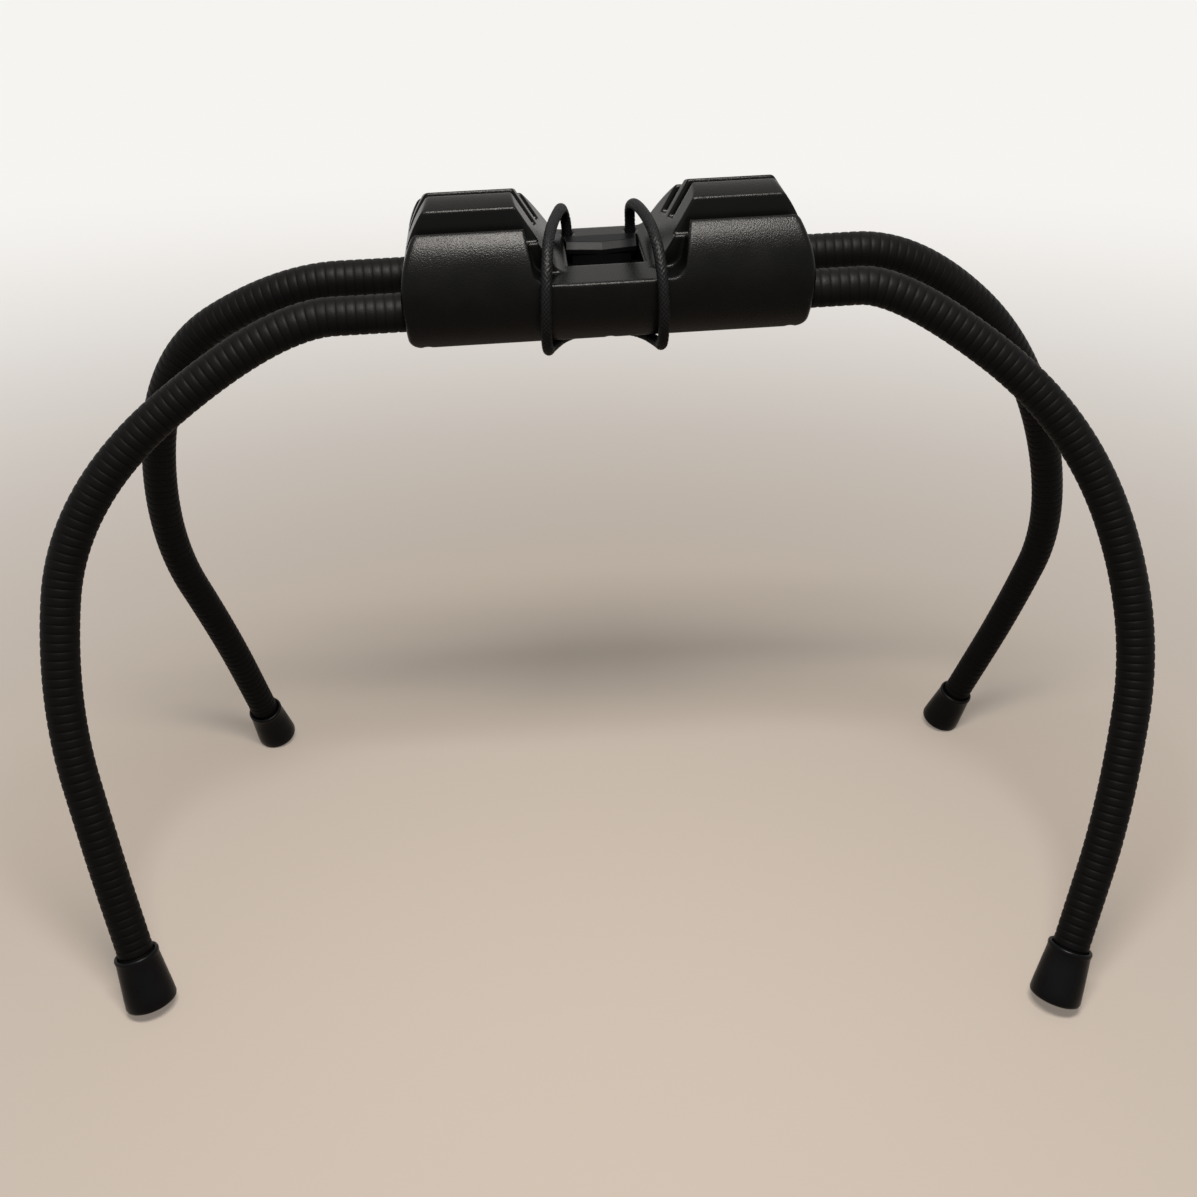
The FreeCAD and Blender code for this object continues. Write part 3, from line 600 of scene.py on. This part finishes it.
class STAND_OT_cord(bpy.types.Operator):
    """Braid the elastic cord along its route"""
    bl_idname = "stand.cord"
    bl_label = "Elastic cord"

    def execute(self, context):
        cord = context.scene.tablet_stand.cord
        line = Line(spline_places([HUB @ (Vector(point) * MM) for point in CORD_ROUTE]))
        radius = cord.diameter / 2
        count = round(line.length / cord.step)
        rings = [(line.length * index / count, radius) for index in range(count + 1)]
        bm = bmesh.new()
        crown = bm.verts.layers.float.new("crown")
        loops = sweep(bm, line, rings, cord.sides)
        for (distance, _), (verts, _) in zip(rings, loops):
            back = line.frame(distance).inverted()
            for vert in verts:
                local = back @ vert.co
                turn = math.atan2(local.y, local.x) / math.tau
                along = distance / cord.lay
                strands = [cord.strands * (turn + along), cord.strands * (turn - along)]
                over = strands[(math.floor(strands[0]) + math.floor(strands[1])) % 2]
                height = 1 - (2 * (over % 1.0) - 1) ** 2
                # The crown height also paints the braid's shade in the gaps and its highlight on the crowns.
                vert[crown] = height
                spread = 1 - (1 - height) * cord.relief / radius
                vert.co = line.frame(distance) @ Vector((local.x * spread, local.y * spread, local.z))
        for ends in (loops[0], loops[-1]):
            bmesh.ops.contextual_create(bm, geom=ends[1])
        # Polyester braided over rubber: black, with small slanting glints on the crowns of the strands, which
        # the lamp gives together with a painted highlight, and painted shade in the gaps. The strands are
        # drawn coarser than those of a real cord, which are too fine to show.
        braid = braided("braided_polyester", "#000000", "#101011", fibres_per_mm=3.5, depth_mm=0.05)
        piece = add_piece("braided_cord", bm, braid)
        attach(piece, "hub")
        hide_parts("elastic_cord")
        # Pressed aluminium: pale and finely marked. The crimps lie inside the rear rim.
        finish_node("cord_crimps", worked_metal("pressed_aluminium", "#B8B9BA", grain_mm=0.6))
        return {"FINISHED"}


class STAND_OT_stage(bpy.types.Operator):
    """Set the floor, the lamps and the camera"""
    bl_idname = "stand.stage"
    bl_label = "Stage"

    def execute(self, context):
        stage = context.scene.tablet_stand.stage
        paper = self.paper(stage)
        bm = bmesh.new()
        verts = [bm.verts.new((reach, 0.0, height)) for reach, height in SWEEP_PROFILE]
        edges = [bm.edges.new(pair) for pair in zip(verts, verts[1:])]
        bmesh.ops.spin(bm, geom=verts + edges, cent=(0, 0, 0), axis=(0, 0, 1), angle=math.tau,
                       steps=SWEEP_STEPS, use_merge=True)
        bmesh.ops.remove_doubles(bm, verts=bm.verts, dist=SAME_POINT)
        add_piece("paper_sweep", bm, paper)
        self.add_lamps(context)
        self.add_world(context, stage.far_colour)
        camera = bpy.data.cameras.new("camera")
        camera.lens = stage.camera_lens
        camera.sensor_width = 36.0
        camera.clip_start = 0.01
        eye = bpy.data.objects.new("camera", camera)
        eye.location = stage.camera_place
        eye.rotation_euler = (math.radians(90.0) - stage.camera_pitch, 0.0, 0.0)
        context.scene.collection.objects.link(eye)
        context.scene.camera = eye
        context.scene.view_settings.view_transform = "Standard"
        return {"FINISHED"}

    def paper(self, stage):
        """Matt paper that the lamps light and shade near the stand, and that pales with distance."""
        # Uncoated paper: even and without gloss, so that the soft shadows of the legs show.
        paper = new_material("matt_paper")
        lit = add_node(paper, "ShaderNodeBsdfPrincipled",
                       {"Base Color": stage.paper_colour, "Roughness": 0.9})
        place = add_node(paper, "ShaderNodeTexCoord").outputs["Object"]
        reach = add_node(paper, "ShaderNodeVectorMath", links={0: place}, operation="LENGTH")
        doublings = add_node(paper, "ShaderNodeMath", {1: 2.0}, {0: reach.outputs["Value"]},
                             operation="LOGARITHM").outputs[0]
        away = add_node(paper, "ShaderNodeMapRange", {"From Min": PALING[0], "From Max": PALING[1]},
                        {"Value": doublings}, interpolation_type="SMOOTHSTEP").outputs["Result"]
        colour = add_node(paper, "ShaderNodeMix", {"A": stage.floor_colour, "B": stage.far_colour},
                          {"Factor": away}, data_type="RGBA").outputs["Result"]
        pale = add_node(paper, "ShaderNodeEmission", {"Strength": 1.0}, {"Color": colour})
        unlit = add_node(paper, "ShaderNodeMapRange", {"To Min": PALE_SHARE[0], "To Max": PALE_SHARE[1]},
                         {"Value": away}).outputs["Result"]
        share = add_node(paper, "ShaderNodeMath", links={0: self.seen(paper), 1: unlit},
                         operation="MULTIPLY").outputs[0]
        both = add_node(paper, "ShaderNodeMixShader",
                        links={0: share, 1: lit.outputs["BSDF"], 2: pale.outputs["Emission"]})
        add_node(paper, "ShaderNodeOutputMaterial", links={"Surface": both.outputs["Shader"]})
        return paper

    def seen(self, owner):
        """One for the rays that show the background, straight or in a gloss or a glass, and else nought."""
        rays = add_node(owner, "ShaderNodeLightPath").outputs
        straight = add_node(owner, "ShaderNodeMath",
                            links={0: rays["Is Camera Ray"], 1: rays["Is Transmission Ray"]},
                            operation="MAXIMUM").outputs[0]
        return add_node(owner, "ShaderNodeMath", links={0: straight, 1: rays["Is Glossy Ray"]},
                        operation="MAXIMUM").outputs[0]

    def add_lamps(self, context):
        """A soft box before and over the stand, which gives the highlights, and an even ceiling."""
        box = bpy.data.lights.new("soft_box", "AREA")
        box.shape = "RECTANGLE"
        box.size, box.size_y = SOFT_BOX_SIZE
        box.energy = SOFT_BOX_POWER
        ceiling = bpy.data.lights.new("ceiling", "SUN")
        ceiling.energy = CEILING_STRENGTH
        ceiling.angle = CEILING_SPREAD
        for light, place, aim in ((box, SOFT_BOX_PLACE, SOFT_BOX_AIM),
                                  (ceiling, CEILING_PLACE, (0.0, 0.0, 0.0))):
            light.color = linear(LAMP_COLOUR)[:3]
            lamp = bpy.data.objects.new(light.name, light)
            lamp.location = place
            lamp.rotation_euler = (Vector(place) - Vector(aim)).to_track_quat("Z", "Y").to_euler()
            lamp.visible_camera = False
            context.scene.collection.objects.link(lamp)

    def add_world(self, context, colour):
        """Light that comes from above, and the far floor's colour wherever the world is seen."""
        world = bpy.data.worlds.new("studio")
        world.use_nodes = True
        world.node_tree.nodes.clear()
        way = add_node(world, "ShaderNodeTexCoord").outputs["Generated"]
        height = add_node(world, "ShaderNodeSeparateXYZ", links={"Vector": way}).outputs["Z"]
        strength = add_node(world, "ShaderNodeMapRange",
                            {"To Min": SKY_STRENGTH[0], "To Max": SKY_STRENGTH[1]},
                            {"Value": height}).outputs["Result"]
        light = add_node(world, "ShaderNodeBackground", {"Color": linear(LAMP_COLOUR)},
                         {"Strength": strength})
        paper = add_node(world, "ShaderNodeBackground", {"Color": colour, "Strength": 1.0})
        both = add_node(world, "ShaderNodeMixShader",
                        links={0: self.seen(world), 1: light.outputs["Background"],
                               2: paper.outputs["Background"]})
        add_node(world, "ShaderNodeOutputWorld", links={"Surface": both.outputs["Shader"]})
        context.scene.world = world


OPERATORS = (STAND_OT_stage, STAND_OT_cord, STAND_OT_housing, STAND_OT_legs, STAND_OT_feet)


class STAND_PT_panel(bpy.types.Panel):
    """The stand's pieces, in the order in which they are made"""
    bl_idname = "STAND_PT_panel"
    bl_label = "Tablet stand"
    bl_space_type = "VIEW_3D"
    bl_region_type = "UI"
    bl_category = "Tablet stand"

    def draw(self, context):
        settings = context.scene.tablet_stand
        for operator in OPERATORS:
            self.layout.operator(operator.bl_idname)
        for group in (settings.sleeve, settings.cord, settings.stage):
            box = self.layout.box()
            for name in group.bl_rna.properties.keys():
                if name not in ("rna_type", "name"):
                    box.prop(group, name)


CLASSES = (SleeveSettings, CordSettings, StageSettings, StandSettings, *OPERATORS, STAND_PT_panel)


def register():
    for item in CLASSES:
        bpy.utils.register_class(item)
    bpy.types.Scene.tablet_stand = PointerProperty(type=StandSettings)


def unregister():
    del bpy.types.Scene.tablet_stand
    for item in reversed(CLASSES):
        bpy.utils.unregister_class(item)


def main():
    register()
    for operator in OPERATORS:
        group, name = operator.bl_idname.split(".")
        getattr(getattr(bpy.ops, group), name)()


if __name__ == "__main__":
    main()
